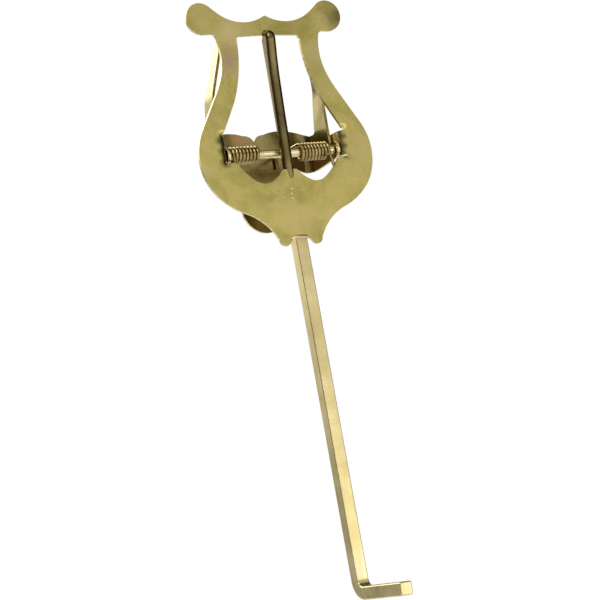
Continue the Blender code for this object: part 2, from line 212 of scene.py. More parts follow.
def baked(obj):
    """Replaces the object's mesh with the result of its modifiers."""
    bpy.context.view_layer.update()
    mesh = bpy.data.meshes.new_from_object(obj.evaluated_get(bpy.context.evaluated_depsgraph_get()))
    obj.modifiers.clear()
    obj.data = mesh
    return obj


def eased(obj, width, segments):
    """Rounds the sharp edges and keeps the flat faces flat under smooth shading."""
    modifier(
        obj,
        "BEVEL",
        width=width * MM,
        segments=segments,
        limit_method="ANGLE",
        angle_limit=math.radians(50),
        use_clamp_overlap=True,
    )
    baked(obj)
    smooth(obj, 50)
    modifier(obj, "WEIGHTED_NORMAL", mode="FACE_AREA", weight=100, keep_sharp=True)
    return baked(obj)


def dissolve_flat(obj):
    """Joins the faces that lie in one plane, so that the bends keep their lines and the flats have none."""
    bm = bmesh.new()
    bm.from_mesh(obj.data)
    bmesh.ops.remove_doubles(bm, verts=bm.verts, dist=0.000002)
    bmesh.ops.dissolve_limit(
        bm,
        angle_limit=math.radians(0.4),
        verts=bm.verts,
        edges=bm.edges,
        delimit={"NORMAL", "MATERIAL"},
    )
    bm.to_mesh(obj.data)
    bm.free()


def smooth(obj, angle):
    for face in obj.data.polygons:
        face.use_smooth = True
    obj.data.set_sharp_from_angle(angle=math.radians(angle))
    return obj


def sheet_solid(obj, thickness, edge_width, hole_cutter=None):
    """Mirrors, thickens and drills a half sheet and rounds its edges; the cut edge has material two."""
    modifier(obj, "MIRROR", use_axis=(True, False, False), merge_threshold=0.00001)
    modifier(
        obj,
        "SOLIDIFY",
        thickness=thickness * MM,
        offset=0.0,
        use_even_offset=True,
        use_quality_normals=True,
        material_offset_rim=1,
    )
    if hole_cutter:
        modifier(obj, "BOOLEAN", object=hole_cutter, operation="DIFFERENCE", solver="EXACT")
    baked(obj)
    dissolve_flat(obj)
    return eased(obj, edge_width, 3)


def plate_half_outline():
    """Half of the plate's flat blank, outside edge first and window edge last."""
    ear_round = 2.0
    ear_end = PLATE_FOLD_X - EAR_LENGTH
    ear_middle = (EAR_TOP + EAR_BOTTOM) / 2
    return outline(
        (0.0, 43.35),
        ((2.2, 42.35),),
        ((7.6, 41.35), (15.9, 44.1)),
        ((18.5, 46.2),),
        ((27.2, 42.8), (21.6, 37.85)),
        ((19.6, 37.95),),
        ((18.5, 37.4), (17.95, 36.2)),
        ((17.35, 30.8), (18.55, 24.2)),
        ((19.8, 21.3), (21.5, 18.2)),
        ((27.6, 8.0),),
        ((30.3, -2.2), (27.0, -11.9)),
        ((23.0, -15.8), (16.8, -19.2)),
        ((11.2, -22.9), (8.4, -26.3)),
        ((7.4, -28.0),),
        ((5.8, -30.0), (4.3, -29.6)),
        ((2.6, -27.6),),
        ((0.0, -27.6),),
        ((0.0, -6.1),),
        ((2.3, -6.1),),
        ((3.2, -7.2), (4.6, -8.35)),
        ((6.4, -9.5), (8.2, -10.1)),
        ((10.6, -9.9), (12.8, -8.8)),
        ((15.0, -6.9), (17.0, -4.5)),
        ((17.7, -3.6), (18.6, -3.05)),
        ((RELIEF_X, -3.0),),
        ((RELIEF_X, EAR_BOTTOM),),
        ((ear_end + ear_round, EAR_BOTTOM),),
        ((ear_end, ear_middle), (ear_end + ear_round, EAR_TOP)),
        ((RELIEF_X, EAR_TOP),),
        ((RELIEF_X, 6.1),),
        ((21.0, 6.1),),
        ((15.4, 16.1),),
        ((12.2, 25.6), (11.1, 35.4)),
        ((10.8, 36.5), (9.6, 36.9)),
        ((2.5, 37.1),),
        ((0.0, 37.1),),
    )


def folded_in(x, run_limit):
    """Sideways position and depth, from the sheet's middle, of a sheet point bent round the ear's fold."""
    run = min(PLATE_FOLD_X - x, run_limit)
    turn = min(max(run, 0.0) / PLATE_BEND_R, math.pi / 2)
    beyond = max(run - PLATE_BEND_R * math.pi / 2, 0.0)
    bent_x = PLATE_FOLD_X - PLATE_BEND_R * math.sin(turn) - min(run, 0.0)
    return bent_x, PLATE_BEND_R * (1 - math.cos(turn)) + beyond


def eased_step(value):
    value = min(max(value, 0.0), 1.0)
    return value * value * (3 - 2 * value)


def plate_bent(x, z, on_ear):
    """Bends the flat plate: the ear fully, and the sheet just over and under it less and less."""
    middle = PLATE / 2
    if on_ear:
        bent_x, depth = folded_in(x, EAR_LENGTH)
        return point(bent_x, middle + depth, z)
    held_x = max(x, RELIEF_X)
    bent_x, depth = folded_in(held_x, PLATE_FOLD_X)
    away = max(z - EAR_TOP, EAR_BOTTOM - z, 0.0)
    share = eased_step(1 - away / EASE_Z) * eased_step((x - EASE_X) / (RELIEF_X - EASE_X))
    return point(x + (bent_x - held_x) * share, middle + depth * share, z)


def cut_fold_lines(bm, steps, ease_steps):
    """Cuts the lines along which the ears bend, and those where the bend dies out over and under them."""
    cut_sheet(bm, list(bm.faces), 0, PLATE_FOLD_X)
    cut_sheet(bm, list(bm.faces), 0, EASE_X)
    for i in range(ease_steps + 1):
        for z in (EAR_TOP + EASE_Z * i / ease_steps, EAR_BOTTOM - EASE_Z * i / ease_steps):
            cut_sheet(bm, [face for face in bm.faces if beside_ear(face.calc_center_median(), 40.0)], 1, z)
    for i in range(1, steps + 1):
        fold = [face for face in bm.faces if beside_ear(face.calc_center_median(), EASE_Z)]
        cut_sheet(bm, fold, 0, PLATE_FOLD_X - PLATE_BEND_R * math.pi / 2 * i / steps)
    bmesh.ops.dissolve_degenerate(bm, dist=0.00001, edges=bm.edges)


def beside_ear(centre, reach):
    x, z = centre.x / MM, centre.y / MM
    return EASE_X < x < PLATE_FOLD_X and EAR_BOTTOM - reach < z < EAR_TOP + reach


def in_ear(centre):
    x, z = centre.x / MM, centre.y / MM
    return 5 < x < PLATE_FOLD_X + 0.001 and EAR_BOTTOM - 0.01 < z < EAR_TOP + 0.01


def pin_hole_cutter():
    bpy.ops.mesh.primitive_cylinder_add(
        vertices=64,
        radius=HOLE_R * MM,
        depth=2 * (PIN_HALF + 2) * MM,
        location=point(0, AXIS_DEPTH, 0),
        rotation=(0, math.pi / 2, 0),
    )
    return bpy.context.active_object


def lyre_plate():
    """One sheet with a wide window, its two hinge ears bent back from the window's sides."""
    bm = flat_mesh("lyre_plate", plate_half_outline())
    cut_fold_lines(bm, 12, 6)
    on_ear = {v for face in bm.faces if in_ear(face.calc_center_median()) for v in face.verts}
    for vert in bm.verts:
        vert.co = plate_bent(vert.co.x / MM, vert.co.y / MM, vert in on_ear)
    return finish_mesh(bm, "lyre_plate")


def string_bar():
    """The half-round channel that stands up the middle of the window, made as a loft of U sections."""
    web_front = outline(
        (0.13, -11.3),
        ((0.01, -9.1),),
        ((-0.32, -6.0), (-0.6, -1.5)),
        ((-0.8, 8.0), (-1.15, 18.0)),
        ((-1.8, 29.0), (-2.65, 35.2)),
        ((-2.3, 36.9), (-1.1, 37.9)),
        ((-0.3, 38.25),),
    )
    bm = bmesh.new()
    rows = []
    arc_steps = 7
    for front, z in web_front:
        depth = front + BAR_SHEET / 2
        back = BAR_CAP_BACK if z > BAR_CAP_FROM_Z else BAR_BACK
        corner = min(BAR_CORNER_R, back - depth - BAR_LEAST_WALL)
        row = [(0.0, depth), (BAR_HALF - corner, depth)]
        for i in range(1, arc_steps + 1):
            turn = math.pi / 2 / arc_steps * i
            row.append((BAR_HALF - corner * (1 - math.sin(turn)), depth + corner * (1 - math.cos(turn))))
        row.append((BAR_HALF, back))
        rows.append([bm.verts.new(point(x, d, z)) for x, d in row])
    for low, high in zip(rows, rows[1:]):
        for j in range(arc_steps + 2):
            bm.faces.new((low[j], low[j + 1], high[j + 1], high[j]))
    return finish_mesh(bm, "string_bar")


def jaw_top_run():
    """Length of the arm's sheet from the hinge to the middle of the top bar."""
    side = JAW_SIDE_X - JAW_LEAN_R * (1 - math.cos(JAW_LEAN)) - JAW_LEAN_RUN * math.sin(JAW_LEAN)
    bends = JAW_LEAN_R * JAW_LEAN + JAW_TOP_R * (math.pi / 2 - JAW_LEAN)
    return JAW_LEAN_FROM + bends + JAW_LEAN_RUN + side - JAW_TOP_R * math.cos(JAW_LEAN)


def jaw_half_outline():
    """Half of the jaw's flat blank: the first number runs round the corner from the back wall's middle."""
    nose_s = JAW_BACK - JAW_BEND_R + JAW_BEND_R * math.pi / 2 + JAW_SIDE_X - JAW_BEND_R - AXIS_DEPTH
    top = jaw_top_run()
    return outline(
        (0.0, 8.1),
        ((1.0, 9.2), (3.6, 10.0)),
        ((7.0, 10.8), (10.5, 10.9)),
        ((17.0, 9.6), (20.9, 8.0)),
        ((23.9, 7.8),),
        ((24.9, 8.2), (25.3, 9.6)),
        ((27.5, 18.6),),
        ((29.8, 24.0), (31.3, 29.3)),
        ((ARM_BACK_S, 37.0),),
        ((ARM_BACK_S, top),),
        ((ARM_FRONT_S, top),),
        ((ARM_FRONT_S, 38.5),),
        ((36.1, 30.3), (34.1, 22.0)),
        ((33.15, 16.0),),
        ((33.1, 8.0),),
        ((nose_s - 1.8, 2.15),),
        ((nose_s + NOSE_R, 0.0), (nose_s, -NOSE_R)),
        ((30.6, -3.1),),
        ((23.3, -3.6),),
        ((19.0, -3.5),),
        ((16.0, -3.0), (13.5, -1.7)),
        ((9.4, -4.3), (TONGUE_HALF, -8.5)),
        ((TONGUE_HALF, TONGUE_TIP + TONGUE_HALF),),
        ((TONGUE_HALF * math.sqrt(0.5), TONGUE_TIP + TONGUE_HALF * (1 - math.sqrt(0.5))), (0.0, TONGUE_TIP)),
    )


def jaw_folded(s, t):
    """Folds a point of the flat blank: round the corner, up the leaning arm and over into the top bar."""
    corner_from = JAW_SIDE_X - JAW_BEND_R
    turn = min(max(s - corner_from, 0) / JAW_BEND_R, math.pi / 2)
    corner_run = JAW_BEND_R * math.pi / 2
    x = min(s, corner_from) + JAW_BEND_R * math.sin(turn)
    depth = JAW_BACK - JAW_BEND_R * (1 - math.cos(turn)) - max(s - corner_from - corner_run, 0)
    if s < corner_from + corner_run or t < JAW_LEAN_FROM:
        return point(x, depth, t)
    lean = min((t - JAW_LEAN_FROM) / JAW_LEAN_R, JAW_LEAN)
    straight = min(max(t - JAW_LEAN_FROM - JAW_LEAN_R * JAW_LEAN, 0), JAW_LEAN_RUN)
    x -= JAW_LEAN_R * (1 - math.cos(lean)) + straight * math.sin(JAW_LEAN)
    z = JAW_LEAN_FROM + JAW_LEAN_R * math.sin(lean) + straight * math.cos(JAW_LEAN)
    over = t - JAW_LEAN_FROM - JAW_LEAN_R * JAW_LEAN - JAW_LEAN_RUN
    if over > 0:
        bend = math.pi / 2 - JAW_LEAN
        angle = JAW_LEAN + min(over / JAW_TOP_R, bend)
        x -= JAW_TOP_R * (math.cos(JAW_LEAN) - math.cos(angle)) + max(over - bend * JAW_TOP_R, 0)
        z += JAW_TOP_R * (math.sin(angle) - math.sin(JAW_LEAN))
    return point(max(x, 0.0), depth, z)


def rear_jaw():
    """One folded sheet: back wall with a thumb tongue, two side walls, two arms and the top bar."""
    bm = flat_mesh("jaw_sheet", jaw_half_outline())
    steps = 12
    corner_from = JAW_SIDE_X - JAW_BEND_R
    for i in range(steps + 1):
        cut_sheet(bm, list(bm.faces), 0, corner_from + JAW_BEND_R * math.pi / 2 * i / steps)
    lean_run = JAW_LEAN_R * JAW_LEAN
    bend = JAW_TOP_R * (math.pi / 2 - JAW_LEAN)
    for i in range(steps + 1):
        cut_sheet(bm, list(bm.faces), 1, JAW_LEAN_FROM + lean_run * i / steps)
        cut_sheet(bm, list(bm.faces), 1, JAW_LEAN_FROM + lean_run + JAW_LEAN_RUN + bend * i / steps)
    for vert in bm.verts:
        vert.co = jaw_folded(vert.co.x / MM, vert.co.y / MM)
    return finish_mesh(bm, "jaw_sheet")


def turned(name, profile, closed):
    """A turned piece about the hinge axis. The profile gives radius and sideways position."""
    bm = bmesh.new()
    verts = [bm.verts.new((radius * MM, 0, along * MM)) for radius, along in profile]
    for a, b in zip(verts, verts[1:]):
        bm.edges.new((a, b))
    if closed:
        bm.edges.new((verts[-1], verts[0]))
    mesh = bpy.data.meshes.new(name)
    bm.to_mesh(mesh)
    bm.free()
    obj = link(bpy.data.objects.new(name, mesh))
    modifier(obj, "SCREW", steps=72, render_steps=72, use_merge_vertices=True, merge_threshold=0.000001)
    baked(obj)
    obj.data.transform(Matrix.Translation(point(0, AXIS_DEPTH, 0)) @ Matrix.Rotation(math.pi / 2, 4, "Y"))
    return smooth(obj, 40)


def pin_profile():
    end = PIN_HALF + PIN_HEAD
    dome = [(0.0, end)]
    steps = 8
    for i in range(1, steps + 1):
        turn = math.pi / 2 * i / steps
        along = PIN_HALF + PIN_HEAD_RIM + (PIN_HEAD - PIN_HEAD_RIM) * math.cos(turn)
        dome.append((PIN_HEAD_R * math.sin(turn), along))
    dome.append((PIN_HEAD_R, PIN_HALF + PIN_HEAD_EASE))
    dome.append((PIN_HEAD_R - PIN_HEAD_EASE, PIN_HALF))
    dome.append((PIN_R, PIN_HALF))
    return dome + [(r, -along) for r, along in reversed(dome)]


def sleeve_profile():
    return [
        (SLEEVE_R - SLEEVE_LIP, SLEEVE_HALF),
        (SLEEVE_R, SLEEVE_HALF - SLEEVE_LIP),
        (SLEEVE_R, -SLEEVE_HALF + SLEEVE_LIP),
        (SLEEVE_R - SLEEVE_LIP, -SLEEVE_HALF),
        (HOLE_R, -SLEEVE_HALF),
        (HOLE_R, SLEEVE_HALF),
    ]


def wire(name, chain, radius):
    """A round wire along a chain of points in metres, with closed ends."""
    curve = bpy.data.curves.new(name, "CURVE")
    curve.dimensions = "3D"
    curve.bevel_depth = radius * MM
    curve.bevel_resolution = 5
    curve.use_fill_caps = True
    spline = curve.splines.new("POLY")
    spline.points.add(len(chain) - 1)
    for target, place in zip(spline.points, chain):
        target.co = (*place, 1)
    obj = link(bpy.data.objects.new(name, curve))
    mesh = bpy.data.meshes.new_from_object(obj.evaluated_get(bpy.context.evaluated_depsgraph_get()))
    bpy.data.objects.remove(obj)
    made = link(bpy.data.objects.new(name, mesh))
    bm = bmesh.new()
    bm.from_mesh(made.data)
    bmesh.ops.remove_doubles(bm, verts=bm.verts, dist=0.000001)
    bm.to_mesh(made.data)
    bm.free()
    return smooth(made, 50)


def torsion_spring(name, ends, front_leg_x):
    """A coil round the sleeve with one leg on the plate's back and one on the jaw's back wall."""
    inner_x, outer_x, turns = ends
    wall = JAW_BACK - JAW / 2 - GAP - WIRE_R
    bend_from = wall - REAR_LEG_BEND
    rear = [point(inner_x, wall, REAR_LEG_TIP_Z)]
    for i in range(9):
        turn = math.pi / 16 * i
        depth = bend_from + REAR_LEG_BEND * math.cos(turn)
        rear.append(point(inner_x, depth, COIL_R - REAR_LEG_BEND * (1 - math.sin(turn))))
    coil = []
    count = round(turns * COIL_STEPS)
    for i in range(count + 1):
        turn = math.pi / 2 + math.tau * i / COIL_STEPS
        x = inner_x + (outer_x - inner_x) * i / count
        coil.append(point(x, AXIS_DEPTH + COIL_R * math.cos(turn), COIL_R * math.sin(turn)))
    on_plate = PLATE + GAP + WIRE_R + 0.02
    front = [
        point(outer_x, on_plate - FRONT_LEG_SLANT, FRONT_LEG_FROM_Z),
        point(front_leg_x, on_plate, FRONT_LEG_TIP_Z),
    ]
    return wire(name, rear + coil + front, WIRE_R)


def square_shank():
    """A square bar: half-lapped to the plate at the top and bent forward into the foot at the bottom."""
    foot_top = -HINGE_Z + SHANK
    centre_z = foot_top + BEND_INNER_R
    front_there = (centre_z - SHOULDER_Z) * math.tan(SHANK_LEAN)
    centre_d = front_there - BEND_INNER_R / math.cos(SHANK_LEAN)
    halfway = -(SHANK_LEAN + math.pi / 2) / 2

    def on_bend(radius, angle):
        return (centre_d + radius * math.cos(angle), centre_z + radius * math.sin(angle))

    outer = BEND_INNER_R + SHANK
    back_top = SHANK / math.cos(SHANK_LEAN)
    side = outline(
        (0.0, SHOULDER_Z),
        ((LAP_DEPTH, SHOULDER_Z),),
        ((LAP_DEPTH, LAP_TOP),),
        ((back_top, LAP_TOP),),
        ((back_top, SHOULDER_Z),),
        (on_bend(outer, -SHANK_LEAN),),
        (on_bend(outer, halfway), on_bend(outer, -math.pi / 2)),
        ((FOOT_TIP_DEPTH, -HINGE_Z),),
        ((FOOT_TIP_DEPTH, foot_top),),
        (on_bend(BEND_INNER_R, -math.pi / 2),),
        (on_bend(BEND_INNER_R, halfway), on_bend(BEND_INNER_R, -SHANK_LEAN)),
    )
    bm = bmesh.new()
    bottom = [bm.verts.new(point(-SHANK / 2, d, z)) for d, z in side]
    face = bm.faces.new(bottom)
    pushed = bmesh.ops.extrude_face_region(bm, geom=[face])["geom"]
    moved = [v for v in pushed if isinstance(v, bmesh.types.BMVert)]
    bmesh.ops.translate(bm, verts=moved, vec=Vector((SHANK * MM, 0, 0)))
    return eased(finish_mesh(bm, "square_shank"), SHANK_EDGE_R, 4)


def braze_bead():
    """The bead run round the lap joint on the plate's back."""
    side = SHANK / 2 + GAP + BEAD_R
    top = LAP_TOP + GAP + BEAD_R
    depth = PLATE + GAP + BEAD_R
    right = [(side, SHOULDER_Z + BEAD_ABOVE_SHOULDER)]
    for i in range(9):
        turn = math.pi / 16 * i
        x = side - BEAD_CORNER_R * (1 - math.cos(turn))
        right.append((x, top - BEAD_CORNER_R * (1 - math.sin(turn))))
    chain = right + [(-x, z) for x, z in reversed(right)]
    return wire("braze_bead", [point(x, depth, z) for x, z in chain], BEAD_R)


def front_solder():
    """Solder that has run through the joint, in the corner of the plate's lower edge and the shank."""
    run = (
        (-3.2, 0.25, -28.2),
        (-2.6, 0.1, -27.5),
        (-1.2, 0.0, -27.6),
        (0.4, 0.05, -27.65),
        (1.9, 0.2, -27.8),
    )
    return wire("front_solder", [point(x, d, z) for x, d, z in run], SOLDER_R)


def stamped_marks():
    """A small stamped ornament: three lozenges one above another between pairs of smaller ones."""
    bm = bmesh.new()
    large, small = 1.0, 0.7
    marks = ((-0.6, -12.2, large), (-0.6, -13.7, large), (-0.6, -15.2, large))
    marks += ((-5.6, -13.1, small), (-3.9, -14.7, small), (2.7, -12.7, small), (4.4, -14.1, small))
    flattened = Matrix.Diagonal((1.0, 1.0, 0.55, 1.0))
    facing_front = Matrix.Rotation(math.pi / 2, 4, "X")
    for x, z, size in marks:
        bmesh.ops.create_cone(
            bm,
            cap_ends=True,
            segments=4,
            radius1=size * MM,
            radius2=size * 0.45 * MM,
            depth=0.2 * MM,
            matrix=Matrix.Translation(point(x, 0.0, z)) @ flattened @ facing_front,
        )
    return eased(finish_mesh(bm, "stamped_marks"), 0.03, 2)


# ---------------------------------------------------------------- finishes

class Nodes:
    """A short way to write a material's node tree."""

    def __init__(self, name):
        self.material = bpy.data.materials.new(name)
        self.material.use_nodes = True
        self.tree = self.material.node_tree
        self.shader = self.tree.nodes["Principled BSDF"]
        coords = self.tree.nodes.new("ShaderNodeTexCoord")
        self.place = coords.outputs["Object"]

    def add(self, kind, links=None, **settings):
        node = self.tree.nodes.new(kind)
        for name, value in settings.items():
            if hasattr(node, name):
                setattr(node, name, value)
            else:
                node.inputs[name.replace("_", " ")].default_value = value
        for name, source in (links or {}).items():
            self.tree.links.new(source, node.inputs[name])
        return node

    def stretched(self, scale):
        return self.add("ShaderNodeMapping", {"Vector": self.place}, Scale=scale).outputs["Vector"]

    def noise(self, scale, detail=3.0, roughness=0.55, stretch=None, distortion=0.0):
        """Cloudy values of about 0 to 1. The scale is in features per metre."""
        where = self.stretched(stretch) if stretch else self.place
        node = self.add("ShaderNodeTexNoise", {"Vector": where})
        node.inputs["Scale"].default_value = scale
        node.inputs["Detail"].default_value = detail
        node.inputs["Roughness"].default_value = roughness
        node.inputs["Distortion"].default_value = distortion
        return node.outputs["Fac"]

    def ramp(self, fac, stops):
        node = self.add("ShaderNodeValToRGB", {"Fac": fac})
        ramp = node.color_ramp
        while len(ramp.elements) < len(stops):
            ramp.elements.new(0.5)
        for element, (position, colour) in zip(ramp.elements, stops):
            element.position = position
            element.color = (*colour, 1.0)
        return node.outputs["Color"]

    def mix(self, fac, a, b):
        node = self.add("ShaderNodeMix", data_type="RGBA")
        for socket, value in ((node.inputs[0], fac), (node.inputs[6], a), (node.inputs[7], b)):
            if isinstance(value, tuple):
                socket.default_value = (*value, 1.0)
            elif isinstance(value, float):
                socket.default_value = value
            else:
                self.tree.links.new(value, socket)
        return node.outputs[2]

    def span(self, fac, low, high, from_low=0.3, from_high=0.7):
        node = self.add("ShaderNodeMapRange", {"Value": fac})
        node.inputs["From Min"].default_value = from_low
        node.inputs["From Max"].default_value = from_high
        node.inputs["To Min"].default_value = low
        node.inputs["To Max"].default_value = high
        return node.outputs["Result"]

    def math(self, operation, a, b=0.0):
        node = self.add("ShaderNodeMath", operation=operation)
        for socket, value in zip(node.inputs, (a, b)):
            if isinstance(value, float):
                socket.default_value = value
            else:
                self.tree.links.new(value, socket)
        return node.outputs["Value"]

    def soft_patch(self, x, z, radius, share):
        """A soft-edged uneven patch round a point given as sideways position and height in mm."""
        flat = self.add("ShaderNodeMapping", {"Vector": self.place}, Scale=(1.0, 0.0, 1.0)).outputs["Vector"]
        away = self.add("ShaderNodeVectorMath", {0: flat}, operation="DISTANCE")
        away.inputs[1].default_value = (x * MM, 0.0, (z + HINGE_Z) * MM)
        uneven = self.math("MULTIPLY", self.noise(220.0, 3.0, 0.6), radius * MM)
        reach = self.math("ADD", away.outputs["Value"], uneven)
        return self.span(reach, share, 0.0, 0.6 * radius * MM, 1.5 * radius * MM)

    def bump(self, height, strength, distance, under=None):
        node = self.add("ShaderNodeBump", {"Height": height})
        node.inputs["Strength"].default_value = strength
        node.inputs["Distance"].default_value = distance
        if under is not None:
            self.tree.links.new(under, node.inputs["Normal"])
        return node.outputs["Normal"]

    def set(self, **links):
        for name, value in links.items():
            socket = self.shader.inputs[name.replace("_", " ")]
            if isinstance(value, (float, tuple)):
                socket.default_value = value
            else:
                self.tree.links.new(value, socket)
        return self.material


def sheet_brass(name, dark, base, warm, rough_low, rough_high, tints_and_painted_light=()):
    """Rolled and polished brass sheet: mottled tarnish, faint polishing lines, a slightly wavy surface, and
    listed soft patches, some of them painted shade and painted reflections.
    """
    n = Nodes(name)
    patches = n.noise(95.0, 4.0, 0.6, distortion=0.4)
    specks = n.noise(900.0, 3.0, 0.65)
    lines = n.noise(420.0, 5.0, 0.7, stretch=(1.0, 1.0, 0.35))
    colour = n.ramp(patches, ((0.28, dark), (0.5, base), (0.74, warm)))
    colour = n.mix(n.span(specks, 0.0, 0.22, 0.45, 0.8), colour, dark)
    # Listed soft patches over the colour: some are tints, some painted shade and painted reflections.
    for x, z, radius, tint, share in tints_and_painted_light:
        colour = n.mix(n.soft_patch(x, z, radius, share), colour, tint)
    roughness = n.span(n.mix(0.5, patches, lines), rough_low, rough_high)
    waves = n.bump(n.noise(38.0, 2.0, 0.4), 1.0, 0.0003)
    fine = n.bump(lines, 0.35, 0.00001, waves)
    pits = n.bump(n.noise(2600.0, 2.0, 0.6), 0.25, 0.000006, fine)
    return n.set(Base_Color=colour, Roughness=roughness, Normal=pits, Metallic=1.0)


def cut_brass(name, base, bright):
    """The sheared edge of a stamping: brighter, with streaks across the sheet's thickness."""
    n = Nodes(name)
    streaks = n.noise(1500.0, 4.0, 0.7, stretch=(1.0, 0.12, 1.0))
    colour = n.ramp(streaks, ((0.35, base), (0.65, bright)))
    rough = n.span(streaks, 0.22, 0.42)
    marks = n.bump(streaks, 0.5, 0.00002)
    return n.set(Base_Color=colour, Roughness=rough, Normal=marks, Metallic=1.0)


def bar_brass(name, dark, base, bright):
    """Drawn square bar: long fine draw lines, light tarnish in cloudy patches."""
    n = Nodes(name)
    clouds = n.noise(60.0, 4.0, 0.6, distortion=0.3)
    draw = n.noise(900.0, 4.0, 0.7, stretch=(1.0, 1.0, 0.03))
    colour = n.ramp(clouds, ((0.3, dark), (0.52, base), (0.72, bright)))
    rough = n.span(n.mix(0.55, clouds, draw), 0.16, 0.34)
    waves = n.bump(n.noise(30.0, 2.0, 0.4), 1.0, 0.00005)
    lines = n.bump(draw, 0.3, 0.000012, waves)
    return n.set(Base_Color=colour, Roughness=rough, Normal=lines, Metallic=1.0)


def wire_steel(name, dark, bright):
    """Drawn wire and turned pieces: cloudy tarnish and fine scratches."""
    n = Nodes(name)
    clouds = n.noise(260.0, 3.0, 0.6)
    scratch = n.noise(1800.0, 3.0, 0.7, stretch=(0.25, 1.0, 1.0))
    colour = n.ramp(clouds, ((0.3, dark), (0.7, bright)))
    rough = n.span(scratch, 0.18, 0.34)
    lines = n.bump(scratch, 0.3, 0.000008)
    return n.set(Base_Color=colour, Roughness=rough, Normal=lines, Metallic=1.0)


def solder(name):
    """Pale lumpy solder, as it ran."""
    n = Nodes(name)
    lumps = n.noise(420.0, 4.0, 0.6)
    colour = n.ramp(lumps, ((0.3, (0.50, 0.38, 0.20)), (0.7, (0.92, 0.74, 0.52))))
    rough = n.span(lumps, 0.2, 0.42)
    surface = n.bump(lumps, 0.7, 0.00012)
    return n.set(Base_Color=colour, Roughness=rough, Normal=surface, Metallic=1.0)


# ---------------------------------------------------------------- object

# Soft colour patches: sideways position and height in mm, radius, colour, strength.
PLATE_TINTS_AND_BEND_SHADE = (
    (26.5, 42.5, 7.5, (0.13, 0.10, 0.03), 0.85),
    (-27.5, 40.0, 5.0, (0.27, 0.25, 0.07), 0.6),
    (-13.0, 39.5, 6.0, (0.62, 0.52, 0.25), 0.6),
    (-14.8, 29.5, 6.5, (0.40, 0.27, 0.17), 0.75),
    (16.5, 30.0, 6.0, (0.58, 0.48, 0.25), 0.6),
    (0.0, -23.5, 6.5, (0.55, 0.42, 0.17), 0.7),
    (27.0, 2.0, 5.0, (0.58, 0.44, 0.20), 0.4),
    # Painted shade in the bend of the left ear.
    (-22.7, 4.0, 1.8, (0.09, 0.08, 0.03), 0.85),
    (-22.6, 0.8, 2.0, (0.09, 0.08, 0.03), 0.85),
    (-21.9, -2.6, 2.2, (0.09, 0.08, 0.03), 0.85),
    # Painted shade in the bend of the right ear.
    (21.2, 3.6, 1.2, (0.12, 0.09, 0.03), 0.8),
    (21.2, 0.4, 1.2, (0.12, 0.09, 0.03), 0.8),
)
# On the jaw all patches are painted light: brown and dark painted reflections and painted shade of the coils
# above and beside them, darker painted shade on the right side wall, and a bright painted reflection on the
# thumb tongue.
JAW_PAINTED_LIGHT = (
    (-5.5, 9.2, 3.6, (0.52, 0.25, 0.11), 0.85),
    (-5.0, 4.0, 3.8, (0.15, 0.09, 0.03), 0.7),
    (14.0, 5.0, 5.0, (0.12, 0.07, 0.025), 0.85),
    (18.8, 3.0, 4.5, (0.10, 0.06, 0.02), 0.85),
    (15.5, -1.0, 3.2, (0.45, 0.19, 0.07), 0.8),
    (3.5, 0.5, 3.0, (0.26, 0.12, 0.06), 0.7),
    (-3.0, -19.0, 5.0, (0.95, 0.66, 0.30), 0.9),
)

plate_brass = sheet_brass(
    "plate_brass", (0.37, 0.31, 0.085), (0.50, 0.42, 0.13), (0.57, 0.45, 0.18), 0.20, 0.34, PLATE_TINTS_AND_BEND_SHADE
)
cut_edge_and_mark_highlight = cut_brass("plate_cut_edge_and_mark_highlight", (0.46, 0.38, 0.14), (0.86, 0.76, 0.42))
# The jaw: the plate's brass made darker, as painted shade behind the plate.
jaw_brass_painted_shade = sheet_brass(
    "jaw_brass_painted_shade", (0.24, 0.19, 0.065), (0.36, 0.30, 0.12), (0.46, 0.35, 0.16), 0.14, 0.26, JAW_PAINTED_LIGHT
)
jaw_edge = cut_brass("jaw_cut_edge", (0.60, 0.46, 0.18), (0.95, 0.82, 0.48))
# The string bar's front: the plate's brass made much darker, a painted dark reflection.
bar_dark_reflection = sheet_brass(
    "string_bar_painted_reflection", (0.11, 0.08, 0.03), (0.17, 0.13, 0.05), (0.24, 0.18, 0.08), 0.16, 0.28
)
shank_brass = bar_brass("shank_brass", (0.52, 0.41, 0.16), (0.70, 0.58, 0.28), (0.82, 0.70, 0.40))
spring_wire = wire_steel("spring_wire", (0.20, 0.14, 0.045), (0.50, 0.38, 0.16))
pin_steel = wire_steel("pin_steel", (0.44, 0.33, 0.14), (0.76, 0.62, 0.34))
sleeve_brass = wire_steel("sleeve_brass", (0.60, 0.49, 0.22), (0.86, 0.74, 0.42))
braze_metal = solder("braze_metal")


def dressed(obj, *materials):
    obj.data.materials.clear()
    for made in materials:
        obj.data.materials.append(made)
    return obj


hole_cutter = pin_hole_cutter()

plate = dressed(lyre_plate(), plate_brass, cut_edge_and_mark_highlight)
sheet_solid(plate, PLATE, PLATE_EDGE_R, hole_cutter)
bar = dressed(string_bar(), bar_dark_reflection, cut_edge_and_mark_highlight)
sheet_solid(bar, BAR_SHEET, BAR_EDGE_R)
jaw = dressed(rear_jaw(), jaw_brass_painted_shade, jaw_edge)
sheet_solid(jaw, JAW, JAW_EDGE_R, hole_cutter)
bpy.data.objects.remove(hole_cutter)

pin = dressed(turned("peened_pin", pin_profile(), False), pin_steel)
sleeve = dressed(turned("sleeve_tube", sleeve_profile(), True), sleeve_brass)
left_coil = dressed(torsion_spring("left_coil", LEFT_COIL, LEFT_LEG_X), spring_wire)
right_coil = dressed(torsion_spring("right_coil", RIGHT_COIL, RIGHT_LEG_X), spring_wire)
shank = dressed(square_shank(), shank_brass)
bead = dressed(braze_bead(), braze_metal)
solder_run = dressed(front_solder(), braze_metal)
